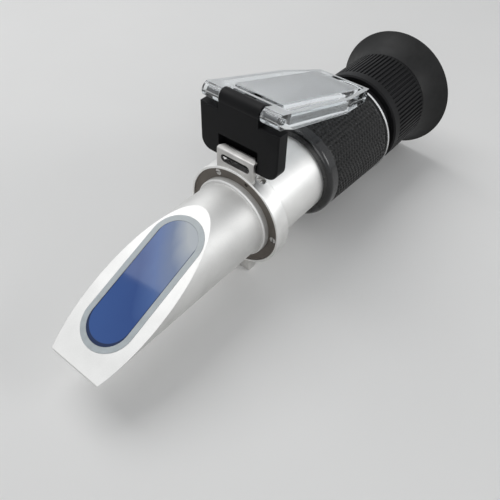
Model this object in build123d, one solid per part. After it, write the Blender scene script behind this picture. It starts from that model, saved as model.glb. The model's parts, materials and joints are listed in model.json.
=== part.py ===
from build123d import *
import os
from math import cos, pi, radians, sin, sqrt, tan

# Hand-held refractometer, in millimetres. The optical axis runs along X from the nose to
# the eyepiece. The model is drawn with X = 0 on the collar's front face and Z = 0 on the
# axis, and each piece is moved at the end so that it stands on Z = 0 below its middle.

os.makedirs("parts", exist_ok=True)

# Clearances
turn_gap = 0.06
fit_gap = 0.03
slide_gap = 0.08
part_gap = 0.3

# Cutting tools reach this far past what they cut, and edges are matched this closely
past = 1.0
tool_reach = 50.0
match = 0.02

# Nose and prism face
nose_radius = 11.95
nose_reach = 61.2
face_slope = 22.34
face_rise = 17.14
tip_edge = 1.0
tip_bevel_reach = 4.6
neck_step_radius = 12.9
neck_step_length = 1.6
neck_step_chamfer = 0.35
shoulder_length = 1.0
light_bore_radius = 7.4
light_bore_reach = 22.0

# Window, gasket and prism, measured along and across the sloped face
window_from_collar = 36.2
window_half_width = 6.53
window_half_straight = 13.26
gasket_width = 1.7
gasket_depth = 1.0
gasket_proud = 0.08
prism_depth = 4.6
prism_ledge = 0.9
prism_cut = 3.0
prism_cut_angle = 45.0

# Collar and the ring that clamps the nose into it
collar_radius = 16.56
collar_length = 5.29
collar_lip_wall = 0.66
collar_front_chamfer = 0.12
collar_rear_chamfer = 0.3
flange_recess = 0.4
flange_thickness = 0.8
flange_screw_count = 3
flange_screw_radius = 0.75
flange_screw_head = 1.05
flange_screw_circle = 14.45
flange_screw_length = 3.0
flange_screw_start = 25.0
flange_screw_tip_gap = 0.2
flange_head_set = 0.1
flange_slot = 0.35
pin_hole_angle = -17.0
pin_hole_radius = 0.55

# Main tube
tube_radius = 13.5
tube_wall = 1.5
tube_end = 62.0

# Grip
grip_start = 27.45
grip_end = 60.3
grip_front_radius = 16.3
grip_rear_radius = 17.25
grip_band_length = 4.2
grip_band_round = 1.6
grip_front_draw = 0.35
grip_front_lead = 0.6
grip_rear_draw = 0.4
grip_rear_lead = 0.5
rear_ring_length = 1.0
rear_ring_radius = 17.66
rear_ring_chamfer = 0.25

# Foot below the collar
foot_front = 1.5
foot_back = 5.0
foot_half_width = 5.2
foot_chamfer = 0.5
foot_root_share = 0.8

# Sheet-metal bracket. The slot, the block and the cover hinge are placed from its bend
sheet = 0.9
bracket_front = 0.5
bracket_half_width = 6.53
bracket_rear_half_width = 5.4
bracket_bend_height = 21.6
bracket_bend_radius = 0.5
bracket_top_slope = 19.9
bracket_base_half_width = 5.2
slot_height = 2.5
slot_length = 10.2
slot_drop = 2.65
bracket_root_share = 0.7
bracket_screw_spacing = 6.6
bracket_screw_radius = 0.7
bracket_screw_head = 1.3
bracket_screw_length = 2.3
bracket_screw_tip_gap = 0.1
bracket_screw_slot_width = 0.36
bracket_screw_slot_depth = 0.3

# Hinge block
pivot_x = 2.4
knuckle_radius = 1.2
swing_pin_radius = 0.6
swing_pin_half_length = 11.0
swing_pin_end_gap = 0.1
block_front = 1.6
block_back = 5.4
block_half_width = 13.35
block_drop = 3.5
block_rise = 11.3
block_corner = 3.6
block_edge = 0.35
pocket_rise = 3.74
pocket_back_wall = 0.65
barrel_radius = 2.4
barrel_half_length = 6.62

# Cover
hinge_x = 3.9
hinge_rise = 14.4
cover_pin_radius = 0.8
cover_pin_recess = 1.0
cover_droop = 17.9
cover_length = 53.4
cover_half_width = 12.6
cover_end_half_width = 9.3
cover_bend = 35.0
cover_knuckle_radius = 2.1
cover_rim_height = 2.0
cover_rim_width = 1.3
cover_floor = 1.4
cover_near_depth = 2.8
cover_end_depth = 2.15
cover_step = 6.5
cover_corner = 0.5
plateau_height = 2.4
plateau_half_width = 8.0
plateau_start = 5.9
plateau_end = 48.2
plateau_chamfer = 0.25

# Calibration screw, objective and temperature strip
calibration_x = 3.85
calibration_angle = -24.6
calibration_shank_radius = 0.8
calibration_head_radius = 1.3
calibration_head_length = 1.1
calibration_recess = 1.3
calibration_slot_width = 0.4
calibration_slot_depth = 0.45
calibration_tip_radius = 9.0
calibration_socket_wall = 0.3
cell_start = 2.7
cell_length = 4.6
cell_radius = 11.3
cell_wall = 3.0
cell_lip = 0.7
objective_thickness = 3.2
seat_width = 0.9
calibration_travel = 0.2
strip_width = 6.0
strip_thickness = 0.5
strip_start = 3.2
strip_length = 33.0
strip_foot_length = 6.0
strip_screw_radius = 0.9
strip_screw_head = 1.8
strip_screw_head_height = 0.9
strip_screw_end_gap = 0.2
strip_slot_width = 0.5
strip_slot_depth = 0.4
strip_inset = 0.4
strip_gap = 0.1

# Stop and reticle
stop_x = 44.0
stop_length = 1.5
stop_aperture = 6.5
stop_chamfer = 0.8
reticle_x = 54.6
reticle_thickness = 1.5
reticle_seat_length = 2.6
reticle_radius = 9.6
reticle_lip = 1.6

# Rear bush and its ring
bush_flange_radius = 15.2
bush_flange_end = 65.8
bush_plug_length = 4.8
bush_spigot_radius = 12.6
bush_bore_radius = 10.0
bush_end = 84.0
clip_length = 0.8
clip_radius = 13.8
clip_groove = 0.5
clip_mouth = 2.4
clip_seat = 0.2

# Focus ring
focus_start = 66.2
focus_end = 87.6
focus_radius = 17.16
focus_band_length = 3.4
focus_rib_end = 86.6
focus_rib_count = 72
focus_rib_depth = 0.55
rib_crest_end = 0.45
rib_valley_start = 0.6
rib_valley_end = 0.85
focus_front_chamfer = 0.5
focus_neck_radius = 14.4
focus_neck_length = 3.0
focus_rear_wall = 1.2
focus_aperture = 9.2
focus_travel = 1.5

# Eyecup
cup_start = 88.0
cup_front_radius = 16.5
cup_rim_radius = 22.1
cup_rim_x = 96.3
cup_wall = 1.5
cup_flare = 0.9
cup_bead = 0.6
cup_bowl_bow = 0.9

# Ocular
ocular_start = 67.0
ocular_length = 16.6
ocular_wall = 1.6
field_lens_thickness = 2.6
eye_lens_thickness = 3.4
lens_bulge = 0.8
ocular_lip = 0.8
lens_ring_length = 1.0
guide_pin_radius = 0.7
guide_pin_x = 74.5
guide_pin_height = 13.2
guide_end_gap = 0.2

# Places worked out from the values above
slope_angle = radians(face_slope)
tip_x = -nose_reach
tip_height = face_rise + tip_x * tan(slope_angle)
tube_bore = tube_radius - tube_wall
flange_back = flange_recess + flange_thickness
tube_start = flange_back + shoulder_length
shoulder_radius = tube_radius - fit_gap
lip_inner = collar_radius - collar_lip_wall
bracket_base_height = lip_inner
slot_centre_height = bracket_bend_height - slot_drop
block_bottom = bracket_bend_height - block_drop
block_shoulder = bracket_bend_height + block_rise
pocket_top = bracket_bend_height + pocket_rise
hinge_z = bracket_bend_height + hinge_rise
rear_ring_end = grip_end + rear_ring_length
band_end = grip_start + grip_band_length
top_angle = radians(bracket_top_slope)
pivot_z = (bracket_bend_height + (pivot_x - bracket_front) * tan(top_angle)
           - knuckle_radius / cos(top_angle))
axis_height = cup_rim_radius
cup_rim_round = cup_wall / 2
cup_end = cup_rim_x + cup_rim_round
middle_x = (tip_x + cup_end) / 2
cell_end = cell_start + cell_length
cell_bore = cell_radius - cell_wall
ocular_radius = bush_bore_radius - slide_gap
ocular_bore = ocular_radius - ocular_wall
ocular_end = ocular_start + ocular_length
focus_bore = bush_spigot_radius + turn_gap
strip_height = -(cell_radius - strip_inset)
calibration_direction = (0, sin(radians(calibration_angle)), cos(radians(calibration_angle)))


def rod(x0, x1, radius):
    return extrude(Plane.YZ.offset(x0) * Circle(radius), amount=x1 - x0)


def tube(x0, x1, outer, inner):
    return rod(x0, x1, outer) - rod(x0 - past, x1 + past, inner)


def block(x0, x1, y0, y1, z0, z1):
    centre = Pos((x0 + x1) / 2, (y0 + y1) / 2, (z0 + z1) / 2)
    return centre * Box(x1 - x0, y1 - y0, z1 - z0)


def turned(outline):
    """Solid of revolution about X from edges drawn in the XZ plane."""
    return revolve(make_face(outline), axis=Axis.X, revolution_arc=360)


def cross_rod(x, z, radius, half_length):
    """Rod along Y, centred on the middle plane."""
    plane = Plane(origin=(x, -half_length, z), x_dir=(1, 0, 0), z_dir=(0, 1, 0))
    return extrude(plane * Circle(radius), amount=2 * half_length)


def post(x, y, radius, z0, z1):
    return extrude(Plane.XY.offset(z0) * Pos(x, y) * Circle(radius), amount=z1 - z0)


def circle_edges(piece, x, radius):
    """Circular edges about X at one station and radius."""
    return [e for e in piece.edges() if e.geom_type == GeomType.CIRCLE and abs(e.radius - radius) < match
            and abs(e.center(CenterOf.BOUNDING_BOX).X - x) < match]


def side_profile(half_width, *points):
    """Plate cut to an XZ outline and centred across Y."""
    outline = make_face(Polyline(*[(x, -half_width, z) for x, z in points], close=True))
    return extrude(outline, amount=2 * half_width, dir=(0, 1, 0))


def face_height(x):
    return face_rise + x * tan(slope_angle)


def face_plane():
    """Plane on the sloped face, centred on the window, its X up the slope."""
    return Plane(origin=(-window_from_collar, 0, face_height(-window_from_collar)),
                 x_dir=(cos(slope_angle), 0, sin(slope_angle)),
                 z_dir=(-sin(slope_angle), 0, cos(slope_angle)))


def face_slot(half_width, top, bottom):
    """Obround cut square to the face, between two heights above it."""
    outline = SlotCenterToCenter(2 * window_half_straight, 2 * half_width)
    return extrude(face_plane().offset(bottom) * outline, amount=top - bottom)


def radial_rod(x, radius, r0, r1):
    """Rod along the calibration screw's own direction."""
    _, uy, uz = calibration_direction
    plane = Plane(origin=(x, uy * r0, uz * r0), x_dir=(1, 0, 0), z_dir=calibration_direction)
    return extrude(plane * Circle(radius), amount=r1 - r0)


def prism_housing():
    body = rod(tip_x, -neck_step_length, nose_radius)
    step = rod(-neck_step_length, flange_back, neck_step_radius)
    step = chamfer(circle_edges(step, -neck_step_length, neck_step_radius), neck_step_chamfer)
    shoulder = rod(flange_back, tube_start, shoulder_radius)
    body = body + step + shoulder
    above = side_profile(2 * nose_radius, (tip_x - past, face_height(tip_x - past)),
                         (past, face_height(past)), (past, tool_reach), (tip_x - past, tool_reach))
    body -= above & block(tip_x - past, -neck_step_length, -tool_reach, tool_reach,
                          -tool_reach, tool_reach)
    bevel = side_profile(2 * nose_radius, (tip_x - past, tip_height - tip_edge),
                         (tip_x, tip_height - tip_edge),
                         (tip_x + tip_bevel_reach, -nose_radius),
                         (tip_x + tip_bevel_reach, -nose_radius - past),
                         (tip_x - past, -nose_radius - past))
    body -= bevel
    body -= face_slot(window_half_width + gasket_width, past, -gasket_depth)
    body -= face_slot(window_half_width - prism_ledge + fit_gap, 0, -prism_depth - part_gap)
    body -= face_slot(window_half_width + fit_gap, 0, -prism_depth / 2)
    body -= rod(-light_bore_reach, tube_start + past, light_bore_radius)
    return body


def prism_gasket():
    rim = face_slot(window_half_width + gasket_width - fit_gap, gasket_proud, -gasket_depth)
    return rim - face_slot(window_half_width + fit_gap, past, -gasket_depth - past)


def measuring_prism():
    """Glass block with a stepped seat, cut back at its rear for the light path."""
    window = face_slot(window_half_width, 0, -prism_depth / 2)
    body = face_slot(window_half_width - prism_ledge, -prism_depth / 2, -prism_depth)
    half = window_half_straight + window_half_width
    wedge = Box(prism_cut, tool_reach, 3 * prism_cut)
    tilt = Pos(half, 0, -prism_depth) * Rot(0, -prism_cut_angle, 0)
    return window + body - face_plane() * tilt * wedge


def collar_notch(gap):
    """Space for the bracket's leg and base behind the collar's front lip."""
    leg = block(bracket_front - gap, bracket_front + sheet + gap, -bracket_half_width - gap,
                bracket_half_width + gap, 0, 2 * collar_radius)
    leg -= rod(-past, collar_length + past, lip_inner)
    seat = block(bracket_front + sheet / 2, collar_length + past, -bracket_base_half_width - gap,
                 bracket_base_half_width + gap, bracket_base_height, 2 * collar_radius)
    return leg + seat


def flange_angles():
    return [flange_screw_start + 360 / flange_screw_count * i for i in range(flange_screw_count)]


def at_flange(angle, x):
    """Point on the flange circle, the angle measured from the top towards +Y."""
    turn = radians(angle)
    return (x, flange_screw_circle * sin(turn), flange_screw_circle * cos(turn))


def flange_rod(angle, radius, x0, x1):
    plane = Plane(origin=at_flange(angle, x0), x_dir=(0, 1, 0), z_dir=(1, 0, 0))
    return extrude(plane * Circle(radius), amount=x1 - x0)


def collar_ring():
    ring = tube(0, collar_length, collar_radius, tube_radius + fit_gap)
    ring -= rod(-past, flange_back, lip_inner)
    ring = chamfer(circle_edges(ring, collar_length, collar_radius), collar_rear_chamfer)
    ring = chamfer(circle_edges(ring, 0, collar_radius), collar_front_chamfer)
    ring -= collar_notch(0)
    for angle in flange_angles():
        ring -= flange_rod(angle, flange_screw_radius, 0, flange_screw_length + flange_screw_tip_gap)
    for y in (-bracket_screw_spacing / 2, bracket_screw_spacing / 2):
        ring -= post(bracket_screw_x(), y, bracket_screw_radius + fit_gap,
                     bracket_screw_bottom() - bracket_screw_tip_gap, 2 * collar_radius)
    ring -= radial_rod(calibration_x, calibration_head_radius + 2 * turn_gap,
                       collar_radius - calibration_recess - calibration_head_length, 2 * collar_radius)
    ring -= radial_rod(calibration_x, calibration_shank_radius + turn_gap, 0, 2 * collar_radius)
    return ring


def flange_ring():
    ring = tube(flange_recess, flange_back, lip_inner - fit_gap, neck_step_radius + fit_gap)
    for angle in flange_angles():
        ring -= flange_rod(angle, flange_screw_head + fit_gap, 0, flange_back)
    return ring - flange_rod(pin_hole_angle, pin_hole_radius, 0, flange_back)


def flange_screws():
    screws = []
    for angle in flange_angles():
        head_front = flange_recess + flange_head_set
        screw = flange_rod(angle, flange_screw_head, head_front, flange_back)
        screw += flange_rod(angle, flange_screw_radius - fit_gap, flange_back, flange_screw_length)
        _, y, z = at_flange(angle, 0)
        slot = block(head_front - flange_slot, head_front + flange_slot, -flange_screw_head,
                     flange_screw_head, -flange_slot / 2, flange_slot / 2)
        screws.append(screw - Pos(0, y, z) * Rot(X=-angle) * slot)
    return Compound(children=screws)


def main_tube():
    body = tube(tube_start, tube_end, tube_radius, tube_bore)
    body -= radial_rod(calibration_x, calibration_shank_radius + turn_gap, 0, 2 * tube_radius)
    return body - post(strip_screw_x(), 0, strip_screw_radius + fit_gap, -2 * tube_radius, 0)


def grip_front_band():
    """Rounded lip of the grip, wider than the tube in front of it."""
    band = tube(grip_start, band_end, grip_front_radius, tube_radius + fit_gap)
    return fillet(circle_edges(band, grip_start, grip_front_radius), grip_band_round)


def rubber_grip():
    """Slightly swelling sleeve, drawn in at both ends where it meets its rings."""
    inner = tube_radius + fit_gap
    waist = grip_front_radius - grip_front_draw
    low = (band_end, 0, inner)
    front = (band_end, 0, waist)
    full = (band_end + grip_front_lead, 0, grip_front_radius)
    rear = (grip_end - grip_rear_lead, 0, grip_rear_radius)
    end = (grip_end, 0, grip_rear_radius - grip_rear_draw)
    shut = (grip_end, 0, inner)
    return turned(Polyline(low, front, full, rear, end, shut, close=True))


def grip_rear_ring():
    ring = tube(grip_end, rear_ring_end, rear_ring_radius, tube_radius + fit_gap)
    return chamfer(circle_edges(ring, rear_ring_end, rear_ring_radius), rear_ring_chamfer)


def collar_foot():
    foot = block(foot_front, foot_back, -foot_half_width, foot_half_width,
                 -axis_height, -collar_radius * foot_root_share)
    low = foot.edges().filter_by(Axis.Y).group_by(Axis.Z)[0]
    foot = chamfer(low, foot_chamfer)
    return foot - rod(-past, collar_length + past, collar_radius)


def bracket_screw_x():
    return (bracket_front + sheet + collar_length) / 2


def bracket_screw_bottom():
    return bracket_base_height + sheet - bracket_screw_length


def hinge_bracket():
    """Bent sheet: base on the collar, leg with an obround slot, sloped top and curl."""
    back = bracket_front + sheet
    rise = tan(top_angle)
    leg = block(bracket_front, back, -bracket_half_width, bracket_half_width,
                collar_radius * bracket_root_share, bracket_bend_height - sheet / 2)
    leg -= rod(-past, collar_length + past, lip_inner)
    base = block(back, collar_length, -bracket_base_half_width, bracket_base_half_width,
                 bracket_base_height, bracket_base_height + sheet)
    step = bracket_base_half_width + past
    leg -= block(back, collar_length, -step, step, 0, bracket_base_height)
    drop = sheet / cos(top_angle)
    end_z = bracket_bend_height + (pivot_x - bracket_front) * rise
    top = side_profile(bracket_half_width, (bracket_front, bracket_bend_height),
                       (bracket_front, bracket_bend_height - sheet), (back, bracket_bend_height - sheet),
                       (pivot_x, end_z - drop), (pivot_x, end_z))
    curl = cross_rod(pivot_x, pivot_z, knuckle_radius, bracket_rear_half_width)
    piece = leg + base + top
    bend = [e for e in piece.edges().filter_by(Axis.Y) if abs(e.center().X - bracket_front) < match
            and abs(e.center().Z - bracket_bend_height) < match]
    piece = fillet(bend, bracket_bend_radius)
    for side in (-1, 1):
        corner = Plane.XY * make_face(Polyline(
            (back, side * (bracket_half_width + past)), (back, side * bracket_half_width),
            (pivot_x, side * bracket_rear_half_width), (pivot_x + 2 * past, side * bracket_rear_half_width),
            (pivot_x + 2 * past, side * (bracket_half_width + past)), close=True))
        piece -= extrude(Pos(0, 0, bracket_bend_height - 2 * sheet) * corner, amount=4 * sheet)
    piece += curl
    piece -= cross_rod(pivot_x, pivot_z, swing_pin_radius + fit_gap, bracket_half_width)
    slot = Plane(origin=(bracket_front - past, 0, slot_centre_height), x_dir=(0, 1, 0), z_dir=(1, 0, 0))
    piece -= extrude(slot * SlotOverall(slot_length, slot_height), amount=past + sheet)
    for y in (-bracket_screw_spacing / 2, bracket_screw_spacing / 2):
        piece -= post(bracket_screw_x(), y, bracket_screw_head + fit_gap,
                      bracket_base_height + sheet / 3, bracket_base_height + sheet + past / 2)
        piece -= post(bracket_screw_x(), y, bracket_screw_radius + fit_gap, 0,
                      bracket_base_height + sheet)
    return piece


def bracket_screws():
    screws = []
    top = bracket_base_height + sheet
    for y in (-bracket_screw_spacing / 2, bracket_screw_spacing / 2):
        screw = post(bracket_screw_x(), y, bracket_screw_head, bracket_base_height + sheet / 3, top)
        screw += post(bracket_screw_x(), y, bracket_screw_radius, bracket_screw_bottom(), top)
        width = bracket_screw_slot_width / 2
        cut = block(-bracket_screw_head, bracket_screw_head, -width, width,
                    top - bracket_screw_slot_depth, top + past)
        screws.append(screw - Pos(bracket_screw_x(), y, 0) * cut)
    return Compound(children=screws)


def swing_pin():
    return cross_rod(pivot_x, pivot_z, swing_pin_radius, swing_pin_half_length)


def hinge_block():
    """Moulded block: rounded lower corners, blind pocket, barrel for the cover's pin."""
    body = block(block_front, block_back, -block_half_width, block_half_width,
                 block_bottom, block_shoulder)
    low = [e for e in body.edges().filter_by(Axis.X) if e.center().Z < block_bottom + match]
    body = fillet(low, block_corner)
    front = [e for e in body.edges() if abs(e.bounding_box().max.X - block_front) < match]
    body = chamfer(front, block_edge)
    stem = block(block_front, block_back, -barrel_half_length, barrel_half_length,
                 block_shoulder - past, hinge_z)
    body = body + stem + cross_rod(hinge_x, hinge_z, barrel_radius, barrel_half_length)
    half = bracket_half_width + part_gap
    body -= block(block_front - past, block_back - pocket_back_wall, -half, half,
                  pivot_z - knuckle_radius - part_gap, pocket_top)
    body -= cross_rod(pivot_x, pivot_z, swing_pin_radius + turn_gap,
                      swing_pin_half_length + swing_pin_end_gap)
    return body - cross_rod(hinge_x, hinge_z, cover_pin_radius + fit_gap, block_half_width)


def cover_pin():
    return cross_rod(hinge_x, hinge_z, cover_pin_radius, cover_half_width - cover_pin_recess)


def cover_plane():
    """Frame on the cover's hinge, X along the cover and Z out of its inner face."""
    droop = radians(cover_droop)
    return Plane(origin=(hinge_x, 0, hinge_z), x_dir=(cos(droop), 0, -sin(droop)),
                 z_dir=(sin(droop), 0, cos(droop)))


def cover_outline(inset):
    """Half outline of the cover's plan, straight and then drawn in to its end."""
    side = cover_half_width - inset
    end = cover_end_half_width - inset
    reach = cover_length - inset
    return [(0, -side), (cover_bend, -side), (reach, -end), (reach, end), (cover_bend, side), (0, side)]


def cover_slab(points, bottom, top):
    return extrude(Plane.XY.offset(bottom) * make_face(Polyline(*points, close=True)),
                   amount=top - bottom)


def cover_plate():
    """Clear tray: hinge knuckles, rim walls, tapering floor and a raised frosted stage."""
    shell = cover_slab(cover_outline(0), -cover_near_depth, cover_rim_height)
    low = -2 * cover_near_depth
    wide = tool_reach
    under = side_profile(2 * cover_half_width, (-wide, low), (cover_length + past, low),
                         (cover_length + past, -cover_end_depth), (cover_step, -cover_near_depth),
                         (cover_knuckle_radius, -cover_knuckle_radius), (-wide, -cover_knuckle_radius))
    hollow = cover_slab(cover_outline(cover_rim_width), cover_floor - cover_near_depth,
                        cover_rim_height + past)
    near = barrel_radius + part_gap
    hollow -= block(-wide, near + cover_rim_width, -wide, wide, -wide, wide)
    shell = shell - under - hollow
    corner = [e for e in shell.edges().filter_by(Axis.Z) if e.center().X > cover_bend - past]
    shell = fillet(corner, cover_corner)
    stage = block(plateau_start, plateau_end, -plateau_half_width, plateau_half_width,
                  -cover_end_depth + cover_floor / 2, plateau_height)
    top_edges = stage.faces().sort_by(Axis.Z)[-1].edges()
    stage = chamfer(top_edges, plateau_chamfer)
    shell += stage
    inner = barrel_half_length + part_gap
    ears = cross_rod(0, 0, cover_knuckle_radius, cover_half_width)
    lead = block(-wide, 0, -wide, wide, -wide, wide)
    shell = shell - lead + ears
    round_off = block(-wide, cover_knuckle_radius, -wide, wide, -wide, -cover_knuckle_radius)
    shell -= round_off
    shell -= block(-wide, near, -inner, inner, -wide, wide)
    shell -= cross_rod(0, 0, cover_pin_radius + turn_gap, 2 * cover_half_width)
    return cover_plane() * shell


def calibration_screw():
    top = collar_radius - calibration_recess
    under = top - calibration_head_length
    screw = radial_rod(calibration_x, calibration_head_radius, under + slide_gap, top)
    screw += radial_rod(calibration_x, calibration_shank_radius, calibration_tip_radius, top)
    _, uy, uz = calibration_direction
    plane = Plane(origin=(calibration_x, uy * top, uz * top), x_dir=(1, 0, 0),
                  z_dir=calibration_direction)
    cut = Box(3 * calibration_head_radius, calibration_slot_width, 2 * calibration_slot_depth)
    return screw - plane * cut


def objective_cell():
    cell = tube(cell_start, cell_end, cell_radius, cell_bore)
    cell += tube(cell_start, cell_start + cell_lip, cell_radius, cell_bore - seat_width)
    cell -= block(0, cell_end + past, -cell_radius, cell_radius, -2 * cell_radius,
                  strip_height + calibration_travel + turn_gap + strip_gap)
    return cell - radial_rod(calibration_x, calibration_shank_radius + turn_gap,
                             cell_bore + calibration_socket_wall, 2 * cell_radius)


def lens(x0, thickness, radius, bulge):
    """Double convex lens: a ground rod between two spherical faces."""
    ball = (radius ** 2 + bulge ** 2) / (2 * bulge)
    front = Pos(x0 + ball, 0, 0) * Rot(0, 90, 0) * Sphere(ball)
    back = Pos(x0 + thickness - ball, 0, 0) * Rot(0, 90, 0) * Sphere(ball)
    return rod(x0, x0 + thickness, radius) & front & back


def seat_stand(radius):
    """How far a lens face stands past its rim where a seat's inner edge touches it."""
    ball = (radius ** 2 + lens_bulge ** 2) / (2 * lens_bulge)
    return sqrt(ball ** 2 - (radius - seat_width) ** 2) - sqrt(ball ** 2 - radius ** 2) + fit_gap


def objective_start():
    return cell_start + cell_lip + seat_stand(cell_bore) - lens_bulge


def objective_lens():
    return lens(objective_start(), objective_thickness, cell_bore - fit_gap, lens_bulge)


def objective_ring():
    start = objective_start() + objective_thickness - lens_bulge + seat_stand(cell_bore)
    return tube(start, cell_end, cell_bore - fit_gap, cell_bore - seat_width)


def strip_screw_x():
    return strip_start + strip_length - strip_foot_length / 2


def bimetal_strip():
    strip = block(strip_start, strip_start + strip_length, -strip_width / 2, strip_width / 2,
                  strip_height - strip_thickness, strip_height)
    foot_low = -sqrt(tube_bore ** 2 - (strip_width / 4) ** 2) + fit_gap
    end = strip_start + strip_length
    foot = block(end - strip_foot_length, end, -strip_width / 4, strip_width / 4,
                 foot_low, strip_height)
    return strip + foot - post(strip_screw_x(), 0, strip_screw_radius + fit_gap, -2 * tube_radius, 0)


def strip_screw():
    screw = post(strip_screw_x(), 0, strip_screw_head, strip_height,
                 strip_height + strip_screw_head_height)
    screw += post(strip_screw_x(), 0, strip_screw_radius, strip_screw_end_gap - tube_radius,
                  strip_height)
    top = strip_height + strip_screw_head_height
    return screw - block(strip_screw_x() - 2 * strip_screw_head, strip_screw_x() + 2 * strip_screw_head,
                         -strip_slot_width / 2, strip_slot_width / 2, top - strip_slot_depth,
                         top + past)


def field_stop():
    stop = tube(stop_x, stop_x + stop_length, tube_bore - fit_gap, stop_aperture)
    return chamfer(circle_edges(stop, stop_x, stop_aperture), stop_chamfer)


def reticle_seat():
    end = reticle_x + reticle_seat_length
    seat = tube(reticle_x, end, tube_bore - fit_gap, reticle_radius - reticle_lip)
    return seat - rod(end - reticle_thickness, end + past, reticle_radius + fit_gap)


def reticle_disc():
    end = reticle_x + reticle_seat_length
    return rod(end - reticle_thickness, end, reticle_radius)


def rear_bush():
    """Bush screwed into the tube, with the flange and spigot that carry the focus ring."""
    plug = rod(tube_end - bush_plug_length, tube_end, tube_bore - fit_gap)
    flange = rod(tube_end, bush_flange_end, bush_flange_radius)
    spigot = rod(bush_flange_end, bush_end, bush_spigot_radius)
    groove_start = bush_end - 2 * clip_length
    groove = tube(groove_start, groove_start + clip_length, bush_spigot_radius + past,
                  bush_spigot_radius - clip_groove)
    body = plug + flange + spigot - groove
    body -= rod(tube_end - bush_plug_length - past, bush_end + past, bush_bore_radius)
    reach = focus_travel + guide_pin_radius + guide_end_gap
    width = guide_pin_radius + slide_gap
    return body - block(guide_pin_x - reach, guide_pin_x + reach, -width, width, 0, 2 * bush_end)


def bush_clip():
    start = bush_end - 2 * clip_length
    clip = tube(start, start + clip_length, clip_radius, bush_spigot_radius - clip_groove + fit_gap)
    return clip - block(start - past, start + clip_length + past, -clip_mouth / 2, clip_mouth / 2,
                        -2 * clip_radius, 0)


def rib_outline():
    """Outline of the ribbed grip: a loop of flat crests and valleys."""
    points = []
    pitch = 2 * pi / focus_rib_count
    for i in range(focus_rib_count):
        for share, radius in ((0, focus_radius), (rib_crest_end, focus_radius),
                              (rib_valley_start, focus_radius - focus_rib_depth),
                              (rib_valley_end, focus_radius - focus_rib_depth)):
            turn = (i + share) * pitch
            points.append((radius * cos(turn), radius * sin(turn)))
    return make_face(Polyline(*points, close=True))


def focus_ring():
    band_end_x = focus_start + focus_band_length
    band = rod(focus_start, band_end_x, focus_radius)
    band = chamfer(circle_edges(band, focus_start, focus_radius), focus_front_chamfer)
    ribs = extrude(Plane.YZ.offset(band_end_x) * rib_outline(), amount=focus_rib_end - band_end_x)
    rear = rod(focus_rib_end, focus_end, focus_radius - focus_rib_depth)
    neck = rod(focus_end, focus_end + focus_neck_length, focus_neck_radius)
    body = band + ribs + rear + neck
    body -= rod(focus_start - past, bush_end, focus_bore)
    pocket = bush_end - 2 * clip_length - part_gap
    body -= rod(pocket, focus_end + focus_neck_length - focus_rear_wall, clip_radius - clip_seat)
    body -= rod(pocket, bush_end + part_gap, clip_radius + part_gap)
    reach = focus_travel + guide_pin_radius + part_gap
    body -= rod(guide_pin_x - reach, guide_pin_x + reach, guide_pin_height + part_gap)
    return body - rod(focus_start, focus_end + 2 * focus_neck_length, focus_aperture)


def eyecup():
    """Soft flared cup: a bead on the focus ring's neck, then an open horn."""
    sleeve_end = focus_end + focus_neck_length
    inner_rim = cup_rim_radius - cup_wall
    mid_x = (cup_start + cup_rim_x) / 2
    mid_r = (cup_front_radius + cup_rim_radius) / 2 - cup_flare
    outline = Line((cup_start, 0, focus_neck_radius), (cup_start, 0, cup_front_radius))
    outline += ThreePointArc((cup_start, 0, cup_front_radius), (mid_x, 0, mid_r),
                             (cup_rim_x, 0, cup_rim_radius))
    outline += ThreePointArc((cup_rim_x, 0, cup_rim_radius), (cup_end, 0, cup_rim_radius - cup_rim_round),
                             (cup_rim_x, 0, inner_rim))
    bowl_x = sleeve_end + cup_bead
    bow_x = (bowl_x + cup_rim_x) / 2 + cup_bowl_bow
    outline += ThreePointArc((cup_rim_x, 0, inner_rim), (bow_x, 0, (focus_neck_radius + inner_rim) / 2),
                             (bowl_x, 0, focus_neck_radius - cup_bead))
    outline += Line((bowl_x, 0, focus_neck_radius - cup_bead), (sleeve_end, 0, focus_neck_radius - cup_bead))
    outline += Line((sleeve_end, 0, focus_neck_radius - cup_bead), (sleeve_end, 0, focus_neck_radius))
    outline += Line((sleeve_end, 0, focus_neck_radius), (cup_start, 0, focus_neck_radius))
    return turned(outline)


def ocular_cell():
    cell = tube(ocular_start, ocular_end, ocular_radius, ocular_bore)
    cell += tube(ocular_start, ocular_start + ocular_lip, ocular_radius, ocular_bore - seat_width)
    return cell - post(guide_pin_x, 0, guide_pin_radius + fit_gap, 0, 2 * ocular_radius)


def field_lens_start():
    return ocular_start + ocular_lip + seat_stand(ocular_bore) - lens_bulge


def eye_lens_start():
    seat = ocular_end - lens_ring_length - seat_stand(ocular_bore)
    return seat + lens_bulge - eye_lens_thickness


def field_lens():
    return lens(field_lens_start(), field_lens_thickness, ocular_bore - fit_gap, lens_bulge)


def eye_lens():
    return lens(eye_lens_start(), eye_lens_thickness, ocular_bore - fit_gap, lens_bulge)


def lens_spacer():
    start = field_lens_start() + field_lens_thickness - lens_bulge + seat_stand(ocular_bore)
    end = eye_lens_start() + lens_bulge - seat_stand(ocular_bore)
    return tube(start, end, ocular_bore - fit_gap, ocular_bore - seat_width)


def lens_ring():
    return tube(ocular_end - lens_ring_length, ocular_end, ocular_bore - fit_gap,
                ocular_bore - seat_width)


def guide_pin():
    return post(guide_pin_x, 0, guide_pin_radius, ocular_bore + fit_gap, guide_pin_height)


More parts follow.
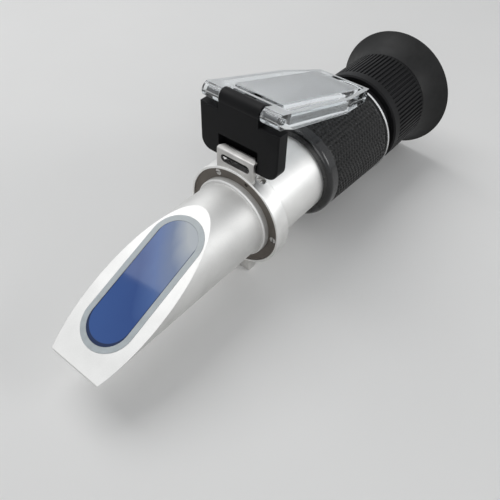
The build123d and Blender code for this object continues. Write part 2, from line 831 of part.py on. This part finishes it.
pieces = {
    "prism_housing": prism_housing,
    "prism_gasket": prism_gasket,
    "measuring_prism": measuring_prism,
    "collar_ring": collar_ring,
    "flange_ring": flange_ring,
    "flange_screws": flange_screws,
    "collar_foot": collar_foot,
    "hinge_bracket": hinge_bracket,
    "bracket_screws": bracket_screws,
    "swing_pin": swing_pin,
    "hinge_block": hinge_block,
    "cover_pin": cover_pin,
    "cover_plate": cover_plate,
    "main_tube": main_tube,
    "grip_front_band": grip_front_band,
    "rubber_grip": rubber_grip,
    "grip_rear_ring": grip_rear_ring,
    "calibration_screw": calibration_screw,
    "objective_cell": objective_cell,
    "objective_lens": objective_lens,
    "objective_ring": objective_ring,
    "bimetal_strip": bimetal_strip,
    "strip_screw": strip_screw,
    "field_stop": field_stop,
    "reticle_seat": reticle_seat,
    "reticle_disc": reticle_disc,
    "rear_bush": rear_bush,
    "bush_clip": bush_clip,
    "focus_ring": focus_ring,
    "eyecup": eyecup,
    "ocular_cell": ocular_cell,
    "field_lens": field_lens,
    "eye_lens": eye_lens,
    "lens_spacer": lens_spacer,
    "lens_ring": lens_ring,
    "guide_pin": guide_pin,
}

for name, make in pieces.items():
    export_step(Pos(-middle_x, 0, axis_height) * make(), f"parts/{name}.step")
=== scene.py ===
import json
from math import cos, pi, radians, sin

import bmesh
import bpy
from mathutils import Matrix, Vector


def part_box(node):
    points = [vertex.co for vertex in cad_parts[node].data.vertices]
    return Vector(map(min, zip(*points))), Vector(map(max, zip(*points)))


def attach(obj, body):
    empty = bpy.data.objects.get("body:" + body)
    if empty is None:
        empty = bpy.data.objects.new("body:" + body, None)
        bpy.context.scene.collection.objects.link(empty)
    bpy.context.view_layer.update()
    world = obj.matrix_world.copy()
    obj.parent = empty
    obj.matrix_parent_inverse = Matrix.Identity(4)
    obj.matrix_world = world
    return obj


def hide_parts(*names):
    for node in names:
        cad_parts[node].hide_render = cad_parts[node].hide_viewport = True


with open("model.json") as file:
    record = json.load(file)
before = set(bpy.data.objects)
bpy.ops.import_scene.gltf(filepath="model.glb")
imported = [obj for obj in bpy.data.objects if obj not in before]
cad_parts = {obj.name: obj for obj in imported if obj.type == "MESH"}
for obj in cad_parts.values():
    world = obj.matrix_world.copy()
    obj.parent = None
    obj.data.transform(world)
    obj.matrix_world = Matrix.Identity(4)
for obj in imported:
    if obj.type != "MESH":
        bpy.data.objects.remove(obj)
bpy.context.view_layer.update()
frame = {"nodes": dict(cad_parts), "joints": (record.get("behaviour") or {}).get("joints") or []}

bl_info = {
    "name": "Hand-held refractometer",
    "version": (1, 0, 0),
    "blender": (4, 5, 0),
    "location": "View3D > Sidebar > Refractometer",
    "description": "Dresses a hand-held refractometer and its studio stage",
    "category": "Object",
}

MM = 0.001
NODES = frame["nodes"]


def node_box(name):
    low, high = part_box(name)
    return Vector(low), Vector(high)


def node_radius(name):
    low, high = node_box(name)
    return (high.y - low.y) / 2


AXIS_HEIGHT = node_radius("eyecup")

# Dots of the grip: half their reach in steps of the lattice, flank share and mesh steps per dot
DOT_REACH = (0.44, 0.42)
DOT_FLANK = 0.42
DOT_STEPS = 7

# Slope of the nose and half the straight part of the window's outline
FACE_SLOPE = radians(22.34)
WINDOW_HALF_STRAIGHT = 13.26 * MM

# Cover folded back: its droop behind the hinge, and its levels above the hinge's plane
COVER_DROOP = radians(17.9)
RIM_LEVEL = 2.0 * MM
STAGE_LEVEL = 2.4 * MM

# Nose metal beside the tube's, and the light of the surroundings on matt and on seen rays
NOSE_SHADE = 0.80
FILL_STRENGTH = 0.30
BACKDROP_STRENGTH = 0.80
BACKDROP_RAYS = ("Is Camera Ray", "Is Glossy Ray", "Is Transmission Ray")

# Lamps: name, place and width in metres, and power in watts
LAMPS = (
    ("key_softbox", (0.02, 0.32, 0.52), 0.46, 1.6),
    ("front_fill", (-0.55, -0.30, 0.34), 0.40, 0.75),
    ("side_strip", (0.25, -0.50, 0.30), 0.26, 0.75),
)


class RefractometerSizes(bpy.types.PropertyGroup):
    """Sizes of the textures and small forms that the scene adds."""
    dot_rows: bpy.props.IntProperty(
        name="Dot rows", description="Rows of dots round the rubber grip", default=66, min=12)
    dot_pitch: bpy.props.FloatProperty(
        name="Dot pitch", description="Distance between dots along the grip",
        default=1.45 * MM, unit="LENGTH")
    dot_height: bpy.props.FloatProperty(
        name="Dot height", description="How far a dot stands above the rubber",
        default=0.38 * MM, unit="LENGTH")
    edge_round: bpy.props.FloatProperty(
        name="Edge rounding", description="Rounding that moulded and turned edges show",
        default=0.18 * MM, unit="LENGTH")
    floor_size: bpy.props.FloatProperty(
        name="Floor size", description="Width of the floor", default=4.0, unit="LENGTH")


class RefractometerColours(bpy.types.PropertyGroup):
    """Base colours of the finishes."""
    blasted: bpy.props.FloatVectorProperty(
        name="Blasted metal", description="Bead-blasted nose and tube", subtype="COLOR",
        size=3, default=(0.86, 0.855, 0.84), min=0, max=1)
    flange: bpy.props.FloatVectorProperty(
        name="Clamp ring metal", description="Darker ring round the neck", subtype="COLOR",
        size=3, default=(0.15, 0.135, 0.12), min=0, max=1)
    turned: bpy.props.FloatVectorProperty(
        name="Turned metal", description="Collar and ring faces", subtype="COLOR",
        size=3, default=(0.66, 0.65, 0.635), min=0, max=1)
    steel: bpy.props.FloatVectorProperty(
        name="Steel", description="Bracket, screws and pins", subtype="COLOR",
        size=3, default=(0.56, 0.55, 0.535), min=0, max=1)
    black: bpy.props.FloatVectorProperty(
        name="Black plastic", description="Block, band and focus ring", subtype="COLOR",
        size=3, default=(0.006, 0.006, 0.0065), min=0, max=1)
    rubber: bpy.props.FloatVectorProperty(
        name="Rubber", description="Grip and eyecup", subtype="COLOR",
        size=3, default=(0.010, 0.010, 0.010), min=0, max=1)
    prism_blue: bpy.props.FloatVectorProperty(
        name="Prism blue", description="Deep blue seen in the prism", subtype="COLOR",
        size=3, default=(0.028, 0.085, 0.30), min=0, max=1)
    acrylic: bpy.props.FloatVectorProperty(
        name="Acrylic", description="Clear cover", subtype="COLOR",
        size=3, default=(0.93, 0.955, 0.97), min=0, max=1)
    floor: bpy.props.FloatVectorProperty(
        name="Floor", description="Floor and backdrop", subtype="COLOR",
        size=3, default=(0.86, 0.858, 0.85), min=0, max=1)


class RefractometerCamera(bpy.types.PropertyGroup):
    """Camera that looks down the nose, from the left and above."""
    place: bpy.props.FloatVectorProperty(
        name="Place", description="Where the camera stands, from the model's origin",
        subtype="TRANSLATION", unit="LENGTH", size=3, default=(-113.04 * MM, -80.41 * MM, 137.17 * MM))
    heading: bpy.props.FloatProperty(
        name="Heading", description="Direction of view from +X towards +Y",
        subtype="ANGLE", default=radians(37.78))
    down: bpy.props.FloatProperty(
        name="Down", description="How far the camera looks down", subtype="ANGLE",
        default=radians(46.13))
    roll: bpy.props.FloatProperty(
        name="Roll", description="Turn about the line of sight", subtype="ANGLE",
        default=radians(1.98))
    focal: bpy.props.FloatProperty(
        name="Focal length", description="Lens on a sensor 36 mm wide", default=40.97, min=1)


def sizes():
    return bpy.context.scene.refractometer_sizes


def colours():
    return bpy.context.scene.refractometer_colours


class Finish:
    """A material and the short calls that build its nodes."""

    def __init__(self, name, colour, roughness, metallic=0.0):
        self.material = bpy.data.materials.new(name)
        self.material.use_nodes = True
        self.tree = self.material.node_tree
        self.shader = self.tree.nodes["Principled BSDF"]
        self.shader.inputs["Base Color"].default_value = (*colour, 1)
        self.shader.inputs["Roughness"].default_value = roughness
        self.shader.inputs["Metallic"].default_value = metallic
        self.place = self.tree.nodes.new("ShaderNodeTexCoord").outputs["Object"]

    def add(self, kind, **values):
        node = self.tree.nodes.new(kind)
        for key, value in values.items():
            setattr(node, key, value)
        return node

    def link(self, source, target):
        self.tree.links.new(source, target)

    def stretched(self, scale, turn=(0, 0, 0)):
        """Object place, scaled on each axis and turned."""
        mapping = self.add("ShaderNodeMapping")
        mapping.inputs["Scale"].default_value = scale
        mapping.inputs["Rotation"].default_value = turn
        self.link(self.place, mapping.inputs["Vector"])
        return mapping.outputs["Vector"]

    def maths(self, operation, first, second=None):
        """One sum on two sockets or numbers."""
        node = self.add("ShaderNodeMath", operation=operation)
        for socket, value in zip(node.inputs, (first, second)):
            if isinstance(value, bpy.types.NodeSocket):
                self.link(value, socket)
            elif value is not None:
                socket.default_value = value
        return node.outputs["Value"]

    def noise(self, scale, detail=3.0, rough=0.5, stretch=(1, 1, 1)):
        node = self.add("ShaderNodeTexNoise")
        node.inputs["Scale"].default_value = scale
        node.inputs["Detail"].default_value = detail
        node.inputs["Roughness"].default_value = rough
        self.link(self.stretched(stretch), node.inputs["Vector"])
        return node.outputs["Fac"]

    def spread(self, value, low, high, start=0.35, end=0.65):
        """Maps a noise to a range of numbers."""
        node = self.add("ShaderNodeMapRange")
        node.inputs["From Min"].default_value = start
        node.inputs["From Max"].default_value = end
        node.inputs["To Min"].default_value = low
        node.inputs["To Max"].default_value = high
        self.link(value, node.inputs["Value"])
        return node.outputs["Result"]

    def ramp(self, value, *stops):
        node = self.add("ShaderNodeValToRGB")
        ramp = node.color_ramp
        while len(ramp.elements) < len(stops):
            ramp.elements.new(0.5)
        for element, (where, colour) in zip(ramp.elements, stops):
            element.position = where
            element.color = (*colour, 1)
        self.link(value, node.inputs["Fac"])
        return node.outputs["Color"]

    def shades(self, value, colour, dark, light, start=0.3, end=0.7):
        """Colour that drifts between a darker and a lighter tone of itself."""
        low = tuple(c * dark for c in colour)
        high = tuple(min(1, c * light) for c in colour)
        self.link(self.ramp(value, (start, low), (end, high)), self.shader.inputs["Base Color"])

    def rough(self, value, low, high):
        self.link(self.spread(value, low, high), self.shader.inputs["Roughness"])

    def bump(self, *layers, round_edges=True):
        """Stacks bump layers of (height, strength, distance) on softened edges."""
        normal = None
        if round_edges:
            edge = self.add("ShaderNodeBevel", samples=4)
            edge.inputs["Radius"].default_value = sizes().edge_round
            normal = edge.outputs["Normal"]
        for height, strength, distance in layers:
            node = self.add("ShaderNodeBump")
            node.inputs["Strength"].default_value = strength
            node.inputs["Distance"].default_value = distance
            self.link(height, node.inputs["Height"])
            if normal:
                self.link(normal, node.inputs["Normal"])
            normal = node.outputs["Normal"]
        self.link(normal, self.shader.inputs["Normal"])


def blasted_metal(name, colour, roughness):
    """Bead-blasted aluminium: an even fine grain with a faint drift of tone."""
    finish = Finish(name, colour, roughness, metallic=1.0)
    grain = finish.noise(5200, detail=2, rough=0.6)
    drift = finish.noise(90, detail=4)
    finish.shades(drift, colour, 0.93, 1.05)
    finish.rough(grain, roughness - 0.05, roughness + 0.07)
    finish.bump((grain, 0.22, 0.03 * MM), (drift, 0.05, 0.1 * MM))
    return finish.material


def turned_metal(name, colour, roughness):
    """Turned aluminium: rings of fine tool marks about the axis."""
    finish = Finish(name, colour, roughness, metallic=1.0)
    marks = finish.noise(2600, detail=2, stretch=(1, 0.02, 0.02))
    drift = finish.noise(140, detail=3)
    finish.shades(drift, colour, 0.88, 1.06)
    finish.rough(marks, roughness - 0.06, roughness + 0.09)
    finish.bump((marks, 0.12, 0.02 * MM))
    finish.shader.inputs["Anisotropic"].default_value = 0.35
    return finish.material


def brushed_steel(name, colour, roughness):
    """Brushed sheet: long scratches across the bracket."""
    finish = Finish(name, colour, roughness, metallic=1.0)
    brush = finish.noise(3800, detail=3, rough=0.7, stretch=(1, 0.035, 1))
    cloud = finish.noise(240, detail=4)
    finish.shades(cloud, colour, 0.80, 1.12)
    finish.rough(brush, roughness - 0.08, roughness + 0.14)
    finish.bump((brush, 0.25, 0.02 * MM))
    return finish.material


def moulded_black(name, colour, roughness, coat, shine=0.3):
    """Moulded plastic: fine spark texture, handling haze and a thin clear gloss."""
    finish = Finish(name, colour, roughness)
    grain = finish.noise(3000, detail=2)
    haze = finish.noise(160, detail=5, rough=0.6)
    finish.shades(haze, colour, 0.7, 1.5)
    finish.rough(haze, roughness - 0.05, roughness + 0.10)
    finish.bump((grain, 0.10, 0.02 * MM), (haze, 0.03, 0.1 * MM))
    finish.shader.inputs["Specular IOR Level"].default_value = shine
    finish.shader.inputs["Coat Weight"].default_value = coat
    finish.shader.inputs["Coat Roughness"].default_value = 0.08
    return finish.material


def soft_rubber(name, colour, roughness):
    """Rubber: matt, slightly dusty, with a faint sheen at grazing angles."""
    finish = Finish(name, colour, roughness)
    grain = finish.noise(2200, detail=4, rough=0.65)
    dust = finish.noise(330, detail=6, rough=0.7)
    finish.shades(dust, colour, 0.7, 1.9, 0.35, 0.75)
    finish.rough(dust, roughness - 0.06, roughness + 0.12)
    finish.bump((grain, 0.30, 0.03 * MM))
    finish.shader.inputs["Specular IOR Level"].default_value = 0.25
    finish.shader.inputs["Sheen Weight"].default_value = 0.05
    finish.shader.inputs["Sheen Roughness"].default_value = 0.45
    return finish.material


def dress(material, *names):
    """Gives CAD nodes one finish, with smooth shading across their fine facets."""
    for name in names:
        thing = NODES[name]
        thing.data.materials.clear()
        thing.data.materials.append(material)
        smooth(thing)


def smooth(thing, limit=radians(32)):
    for polygon in thing.data.polygons:
        polygon.use_smooth = True
    thing.data.set_sharp_from_angle(angle=limit)


def new_piece(name, mesh_data, material, body, slot, *replaced):
    """Finishes a made mesh: one finish and its place in the frame."""
    data = bpy.data.meshes.new(name)
    mesh_data.to_mesh(data)
    mesh_data.free()
    thing = bpy.data.objects.new(name, data)
    bpy.context.scene.collection.objects.link(thing)
    data.materials.append(material)
    smooth(thing, radians(50))
    if replaced:
        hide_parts(*replaced)
    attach(thing, body)
    return thing


def ring_point(x, radius, turn):
    return Vector((x, radius * sin(turn), AXIS_HEIGHT + radius * cos(turn)))


def close_loops(mesh, loops):
    """Quads between each loop of vertices and the next, round to the first."""
    for first, second in zip(loops, loops[1:] + loops[:1]):
        count = len(first)
        for i in range(count):
            j = (i + 1) % count
            mesh.faces.new((first[i], first[j], second[j], second[i]))


def dot_height_at(u, v):
    """Height share of the grip at a place in its lattice, 1 on a dot's crown."""
    reach_u = abs(u - round(u)) / DOT_REACH[0]
    reach_v = abs(v - round(v)) / DOT_REACH[1]
    gap = (reach_u ** 4 + reach_v ** 4) ** 0.25
    share = max(0.0, min(1.0, (1 - gap) / DOT_FLANK))
    return share * share * (3 - 2 * share)


def dotted_grip(material):
    """Rubber sleeve with staggered rows of raised dots, on the CAD sleeve's outline."""
    low, high = node_box("rubber_grip")
    front = node_radius("grip_front_band")
    rear = node_radius("rubber_grip")
    bore = node_radius("main_tube") + 0.03 * MM
    rows = sizes().dot_rows
    height = sizes().dot_height
    margin = 1.0 * MM
    fine = DOT_STEPS
    columns = round((high.x - low.x - 2 * margin) / sizes().dot_pitch)
    steps = rows * fine
    profile_x = [low.x + margin + (high.x - low.x - 2 * margin) * k / (columns * fine)
                 for k in range(columns * fine + 1)]
    mesh = bmesh.new()
    loops = []

    def outline(x):
        share = (x - low.x) / (high.x - low.x)
        return front + (rear - front) * share

    def plain(x, radius):
        loops.append([mesh.verts.new(ring_point(x, radius, 2 * pi * i / steps))
                      for i in range(steps)])

    plain(low.x, bore)
    plain(low.x, outline(low.x) - height - 0.15 * MM)
    plain(low.x + 0.3 * margin, outline(low.x) - height)
    for k, x in enumerate(profile_x):
        loop = []
        for i in range(steps):
            v = i / fine
            u = k / fine + 0.5 + 0.5 * (round(v) % 2)
            lift = dot_height_at(u, v) if 0 < k < columns * fine else 0.0
            radius = outline(x) - height * (1 - lift)
            loop.append(mesh.verts.new(ring_point(x, radius, 2 * pi * v / rows)))
        loops.append(loop)
    plain(high.x - 0.3 * margin, outline(high.x) - height)
    plain(high.x, outline(high.x) - height - 0.2 * MM)
    plain(high.x, bore)
    close_loops(mesh, loops)
    bmesh.ops.recalc_face_normals(mesh, faces=mesh.faces)
    return new_piece("dotted_grip", mesh, material, "optical_tube", "grip_rubber", "rubber_grip")


def slot_distance(finish):
    """Distance from the window's rim in the shader, in metres: negative inside, 0 on the rim."""
    low, high = node_box("measuring_prism")
    half_width = (high.y - low.y) / 2
    slope = Vector((cos(FACE_SLOPE), 0, sin(FACE_SLOPE)))
    top = Vector((high.x, 0, high.z))
    length = finish.add("ShaderNodeVectorMath", operation="DOT_PRODUCT")
    length.inputs[1].default_value = slope
    finish.link(finish.place, length.inputs[0])
    centre = top.dot(slope) - WINDOW_HALF_STRAIGHT - half_width
    past_end = finish.maths("ABSOLUTE", finish.maths("SUBTRACT", length.outputs["Value"], centre))
    past_end = finish.maths("MAXIMUM", finish.maths("SUBTRACT", past_end, WINDOW_HALF_STRAIGHT), 0.0)
    split = finish.add("ShaderNodeSeparateXYZ")
    finish.link(finish.place, split.inputs["Vector"])
    across = split.outputs["Y"]
    squares = finish.maths("ADD", finish.maths("MULTIPLY", past_end, past_end),
                           finish.maths("MULTIPLY", across, across))
    return finish.maths("SUBTRACT", finish.maths("SQRT", squares), half_width)


def prism_glass():
    """Prism window: blue depth under polished glass, with a painted reflection that turns it pale
    towards the top.
    """
    deep = tuple(colours().prism_blue)
    finish = Finish("prism_glass", deep, 0.06)
    low, high = node_box("measuring_prism")
    split = finish.add("ShaderNodeSeparateXYZ")
    finish.link(finish.place, split.inputs["Vector"])
    cloud = finish.noise(42, detail=3, rough=0.5, stretch=(0.7, 1.6, 1))
    length = finish.spread(split.outputs["X"], 0, 1, low.x, high.x)
    across = finish.spread(split.outputs["Y"], 0.16, -0.16, low.y, high.y)
    tone = finish.maths("ADD", finish.maths("ADD", length, across),
                        finish.maths("MULTIPLY", finish.maths("SUBTRACT", cloud, 0.5), 0.5))
    # Painted reflection: the colour runs from deep blue to pale grey along the window and across it,
    # with a little random mottling.
    blue_and_painted_reflection = finish.ramp(tone, (0.0, (0.036, 0.105, 0.345)), (0.42, deep), (0.62, (0.075, 0.155, 0.40)),
                        (0.80, (0.135, 0.20, 0.36)), (1.0, (0.46, 0.50, 0.54)))
    rim = finish.spread(slot_distance(finish), 0, 1, -0.30 * MM, -0.12 * MM)
    dark = finish.add("ShaderNodeMix", data_type="RGBA")
    finish.link(rim, dark.inputs["Factor"])
    finish.link(blue_and_painted_reflection, dark.inputs["A"])
    dark.inputs["B"].default_value = (0.012, 0.03, 0.10, 1)
    finish.link(dark.outputs["Result"], finish.shader.inputs["Base Color"])
    ripple = finish.noise(60, detail=2)
    finish.bump((ripple, 0.02, 0.2 * MM))
    finish.shader.inputs["Coat Weight"].default_value = 0.15
    finish.shader.inputs["Coat Roughness"].default_value = 0.04
    finish.shader.inputs["Specular IOR Level"].default_value = 0.3
    return finish.material


def gasket_seal():
    """Translucent grey sealant, a little uneven."""
    colour = (0.50, 0.545, 0.565)
    finish = Finish("gasket_seal", colour, 0.34)
    cloud = finish.noise(520, detail=5, rough=0.6)
    finish.shades(cloud, colour, 0.92, 1.06)
    finish.rough(cloud, 0.30, 0.42)
    finish.bump((cloud, 0.12, 0.04 * MM), round_edges=False)
    finish.shader.inputs["Subsurface Weight"].default_value = 0.35
    finish.shader.inputs["Subsurface Radius"].default_value = (0.4 * MM, 0.45 * MM, 0.5 * MM)
    finish.shader.inputs["Subsurface Scale"].default_value = 1.0
    return finish.material


def cover_height(finish):
    """Height above the cover's hinge plane, in the shader, while the cover is folded back."""
    joint = next(j for j in frame["joints"] if j["name"] == "cover_flip")
    pivot = Vector(joint["pos_m"])
    normal = Vector((sin(COVER_DROOP), 0, cos(COVER_DROOP)))
    height = finish.add("ShaderNodeVectorMath", operation="DOT_PRODUCT")
    height.inputs[1].default_value = normal
    finish.link(finish.place, height.inputs[0])
    return finish.maths("SUBTRACT", height.outputs["Value"], pivot.dot(normal))


def clear_acrylic():
    """Clear acrylic: frosted on the raised stage, with ground edges that are rough as ground acrylic
    and whitened as a painted highlight.
    """
    colour = tuple(colours().acrylic)
    finish = Finish("clear_acrylic", colour, 0.03)
    shader = finish.shader
    shader.inputs["IOR"].default_value = 1.49
    scuff = finish.noise(900, detail=5, rough=0.75)
    speck = finish.noise(4200, detail=2)
    height = cover_height(finish)
    stage = finish.spread(height, 0, 1, STAGE_LEVEL - 0.10 * MM, STAGE_LEVEL - 0.03 * MM)
    ground_and_painted_highlight = finish.spread(height, 0, 1, RIM_LEVEL - 0.10 * MM, RIM_LEVEL - 0.02 * MM)
    edge = finish.maths("SUBTRACT", ground_and_painted_highlight, stage)
    clear = finish.spread(scuff, 0.02, 0.07, 0.4, 0.75)
    haze = finish.maths("ADD", finish.maths("MULTIPLY", ground_and_painted_highlight, 0.40), clear)
    finish.link(haze, shader.inputs["Roughness"])
    # Painted highlight: from the rim's top up to the stage the transmission drops, so the pale acrylic
    # colour shows there as whitish lines; the stage itself is frosted and a little less clear.
    through = finish.maths("SUBTRACT", 1.0, finish.maths("ADD", finish.maths("MULTIPLY", edge, 0.55),
                                                         finish.maths("MULTIPLY", stage, 0.22)))
    finish.link(through, shader.inputs["Transmission Weight"])
    frost = finish.maths("MULTIPLY", stage, speck)
    finish.bump((frost, 0.30, 0.05 * MM))
    return finish.material


def coated_glass(name):
    finish = Finish(name, (0.90, 0.94, 0.96), 0.02)
    finish.shader.inputs["Transmission Weight"].default_value = 1.0
    finish.shader.inputs["IOR"].default_value = 1.52
    haze = finish.noise(300, detail=4)
    finish.rough(haze, 0.01, 0.04)
    finish.shader.inputs["Coat Weight"].default_value = 0.5
    finish.shader.inputs["Coat Tint"].default_value = (0.75, 0.70, 1.0, 1)
    return finish.material


class NoseBuilder(bpy.types.Operator):
    """Dress the nose, its gasket and the measuring prism"""
    bl_idname = "refractometer.nose"
    bl_label = "Nose and prism"

    def execute(self, context):
        nose = tuple(NOSE_SHADE * c for c in colours().blasted)
        dress(blasted_metal("blasted_nose", nose, 0.56), "prism_housing")
        dress(gasket_seal(), "prism_gasket")
        dress(prism_glass(), "measuring_prism")
        return {"FINISHED"}


class CollarBuilder(bpy.types.Operator):
    """Dress the collar, its clamp ring, screws and foot"""
    bl_idname = "refractometer.collar"
    bl_label = "Collar"

    def execute(self, context):
        turned = tuple(colours().turned)
        dress(turned_metal("turned_collar", tuple(colours().blasted), 0.42), "collar_ring")
        dress(turned_metal("turned_flange", tuple(colours().flange), 0.36), "flange_ring")
        dress(brushed_steel("foot_steel", turned, 0.34), "collar_foot")
        dress(turned_metal("screw_steel", tuple(colours().steel), 0.28),
              "flange_screws", "calibration_screw", "bracket_screws", "swing_pin",
              "bush_clip", "strip_screw", "guide_pin")
        return {"FINISHED"}


class HingeBuilder(bpy.types.Operator):
    """Dress the sheet-metal bracket and the moulded hinge block"""
    bl_idname = "refractometer.hinge"
    bl_label = "Bracket and block"

    def execute(self, context):
        dress(brushed_steel("bracket_steel", tuple(colours().steel), 0.36), "hinge_bracket")
        dress(moulded_black("block_plastic", tuple(colours().black), 0.42, 0.0, 0.12), "hinge_block")
        return {"FINISHED"}


class CoverBuilder(bpy.types.Operator):
    """Dress the clear cover plate"""
    bl_idname = "refractometer.cover"
    bl_label = "Cover plate"

    def execute(self, context):
        dress(clear_acrylic(), "cover_plate")
        dress(turned_metal("dark_pin", (0.12, 0.12, 0.12), 0.35), "cover_pin")
        return {"FINISHED"}


class TubeBuilder(bpy.types.Operator):
    """Dress the main tube and make the dotted rubber grip"""
    bl_idname = "refractometer.tube"
    bl_label = "Tube and grip"

    def execute(self, context):
        dress(blasted_metal("satin_tube", tuple(colours().blasted), 0.46), "main_tube")
        dress(moulded_black("band_gloss", tuple(colours().black), 0.20, 0.6), "grip_front_band")
        dress(turned_metal("trim_bright", (0.84, 0.84, 0.84), 0.16), "grip_rear_ring")
        dotted_grip(soft_rubber("grip_rubber", tuple(colours().rubber), 0.27))
        return {"FINISHED"}


class EyepieceBuilder(bpy.types.Operator):
    """Dress the rear bush, the ribbed focus ring and the eyecup"""
    bl_idname = "refractometer.eyepiece"
    bl_label = "Eyepiece"

    def execute(self, context):
        dress(moulded_black("ring_plastic", tuple(colours().black), 0.44, 0.0, 0.15),
              "rear_bush", "focus_ring")
        dress(soft_rubber("cup_rubber", tuple(colours().rubber), 0.50), "eyecup")
        return {"FINISHED"}


class OpticsBuilder(bpy.types.Operator):
    """Dress the lenses, their cells and the pieces inside the tube"""
    bl_idname = "refractometer.optics"
    bl_label = "Inner optics"

    def execute(self, context):
        dress(moulded_black("cell_black", tuple(colours().black), 0.5, 0.0),
              "objective_cell", "objective_ring", "field_stop", "reticle_seat", "ocular_cell",
              "lens_spacer", "lens_ring")
        dress(brushed_steel("bimetal", (0.62, 0.47, 0.26), 0.35), "bimetal_strip")
        dress(coated_glass("coated_lens"), "objective_lens", "field_lens", "eye_lens", "reticle_disc")
        return {"FINISHED"}


class StageBuilder(bpy.types.Operator):
    """Lay the floor, hang the lamps and set up the camera"""
    bl_idname = "refractometer.stage"
    bl_label = "Stage"

    def execute(self, context):
        scene = context.scene
        scene.view_settings.view_transform = "Standard"
        lay_floor()
        light_world(scene)
        for lamp in LAMPS:
            area_lamp(*lamp)
        scene.camera = photo_camera()
        return {"FINISHED"}


def lay_floor():
    finish = Finish("pale_floor", tuple(colours().floor), 0.75)
    cloud = finish.noise(14, detail=4)
    finish.shades(cloud, tuple(colours().floor), 0.985, 1.01)
    finish.bump((finish.noise(700, detail=3), 0.04, 0.1 * MM), round_edges=False)
    half = sizes().floor_size / 2
    data = bpy.data.meshes.new("floor")
    corners = [(-half, -half, 0), (half, -half, 0), (half, half, 0), (-half, half, 0)]
    data.from_pydata(corners, [], [(0, 1, 2, 3)])
    floor = bpy.data.objects.new("floor", data)
    data.materials.append(finish.material)
    bpy.context.scene.collection.objects.link(floor)


def light_world(scene):
    """Surroundings: a pale backdrop on seen rays and a weaker fill on matt surfaces."""
    world = bpy.data.worlds.new("studio")
    world.use_nodes = True
    tree = world.node_tree
    sky = tree.nodes["Background"]
    sky.inputs["Color"].default_value = (0.96, 0.98, 1.0, 1)
    path = tree.nodes.new("ShaderNodeLightPath")
    seen = path.outputs[BACKDROP_RAYS[0]]
    for ray in BACKDROP_RAYS[1:]:
        either = tree.nodes.new("ShaderNodeMath")
        either.operation = "MAXIMUM"
        tree.links.new(seen, either.inputs[0])
        tree.links.new(path.outputs[ray], either.inputs[1])
        seen = either.outputs["Value"]
    strength = tree.nodes.new("ShaderNodeMapRange")
    strength.inputs["To Min"].default_value = FILL_STRENGTH
    strength.inputs["To Max"].default_value = BACKDROP_STRENGTH
    tree.links.new(seen, strength.inputs["Value"])
    tree.links.new(strength.outputs["Result"], sky.inputs["Strength"])
    scene.world = world


def area_lamp(name, place, width, power):
    data = bpy.data.lights.new(name, "AREA")
    data.shape = "SQUARE"
    data.size = width
    data.energy = power
    lamp = bpy.data.objects.new(name, data)
    bpy.context.scene.collection.objects.link(lamp)
    lamp.location = place
    aim = Vector((0, 0, AXIS_HEIGHT)) - lamp.location
    lamp.rotation_mode = "QUATERNION"
    lamp.rotation_quaternion = aim.to_track_quat("-Z", "Y")


def photo_camera():
    """Camera at the measured place; its axes come from heading, down and roll."""
    spec = bpy.context.scene.refractometer_camera
    forward = Vector((cos(spec.down) * cos(spec.heading), cos(spec.down) * sin(spec.heading),
                      -sin(spec.down)))
    right = forward.cross(Vector((0, 0, 1))).normalized()
    up = right.cross(forward)
    side = cos(spec.roll) * right + sin(spec.roll) * up
    top = cos(spec.roll) * up - sin(spec.roll) * right
    data = bpy.data.cameras.new("photo_camera")
    data.sensor_width = 36
    data.lens = spec.focal
    data.clip_start = 0.005
    camera = bpy.data.objects.new("photo_camera", data)
    bpy.context.scene.collection.objects.link(camera)
    camera.matrix_world = Matrix((
        (side.x, top.x, -forward.x, spec.place[0]),
        (side.y, top.y, -forward.y, spec.place[1]),
        (side.z, top.z, -forward.z, spec.place[2]),
        (0, 0, 0, 1)))
    return camera


BUILDERS = (NoseBuilder, CollarBuilder, HingeBuilder, CoverBuilder, TubeBuilder, EyepieceBuilder,
            OpticsBuilder, StageBuilder)
GROUPS = {
    "refractometer_sizes": RefractometerSizes,
    "refractometer_colours": RefractometerColours,
    "refractometer_camera": RefractometerCamera,
}


class RefractometerPanel(bpy.types.Panel):
    """Lists the builders and the values that they read"""
    bl_label = "Refractometer"
    bl_idname = "VIEW3D_PT_refractometer"
    bl_space_type = "VIEW_3D"
    bl_region_type = "UI"
    bl_category = "Refractometer"

    def draw(self, context):
        for group in GROUPS:
            box = self.layout.box()
            values = getattr(context.scene, group)
            for key in values.__annotations__:
                box.prop(values, key)
        for builder in BUILDERS:
            self.layout.operator(builder.bl_idname)


def register():
    for group, kind in GROUPS.items():
        bpy.utils.register_class(kind)
        setattr(bpy.types.Scene, group, bpy.props.PointerProperty(type=kind))
    for kind in (*BUILDERS, RefractometerPanel):
        bpy.utils.register_class(kind)


def unregister():
    for kind in reversed((*BUILDERS, RefractometerPanel)):
        bpy.utils.unregister_class(kind)
    for group, kind in GROUPS.items():
        delattr(bpy.types.Scene, group)
        bpy.utils.unregister_class(kind)


def main():
    register()
    for builder in BUILDERS:
        group, name = builder.bl_idname.split(".")
        getattr(getattr(bpy.ops, group), name)()


if __name__ == "__main__":
    main()
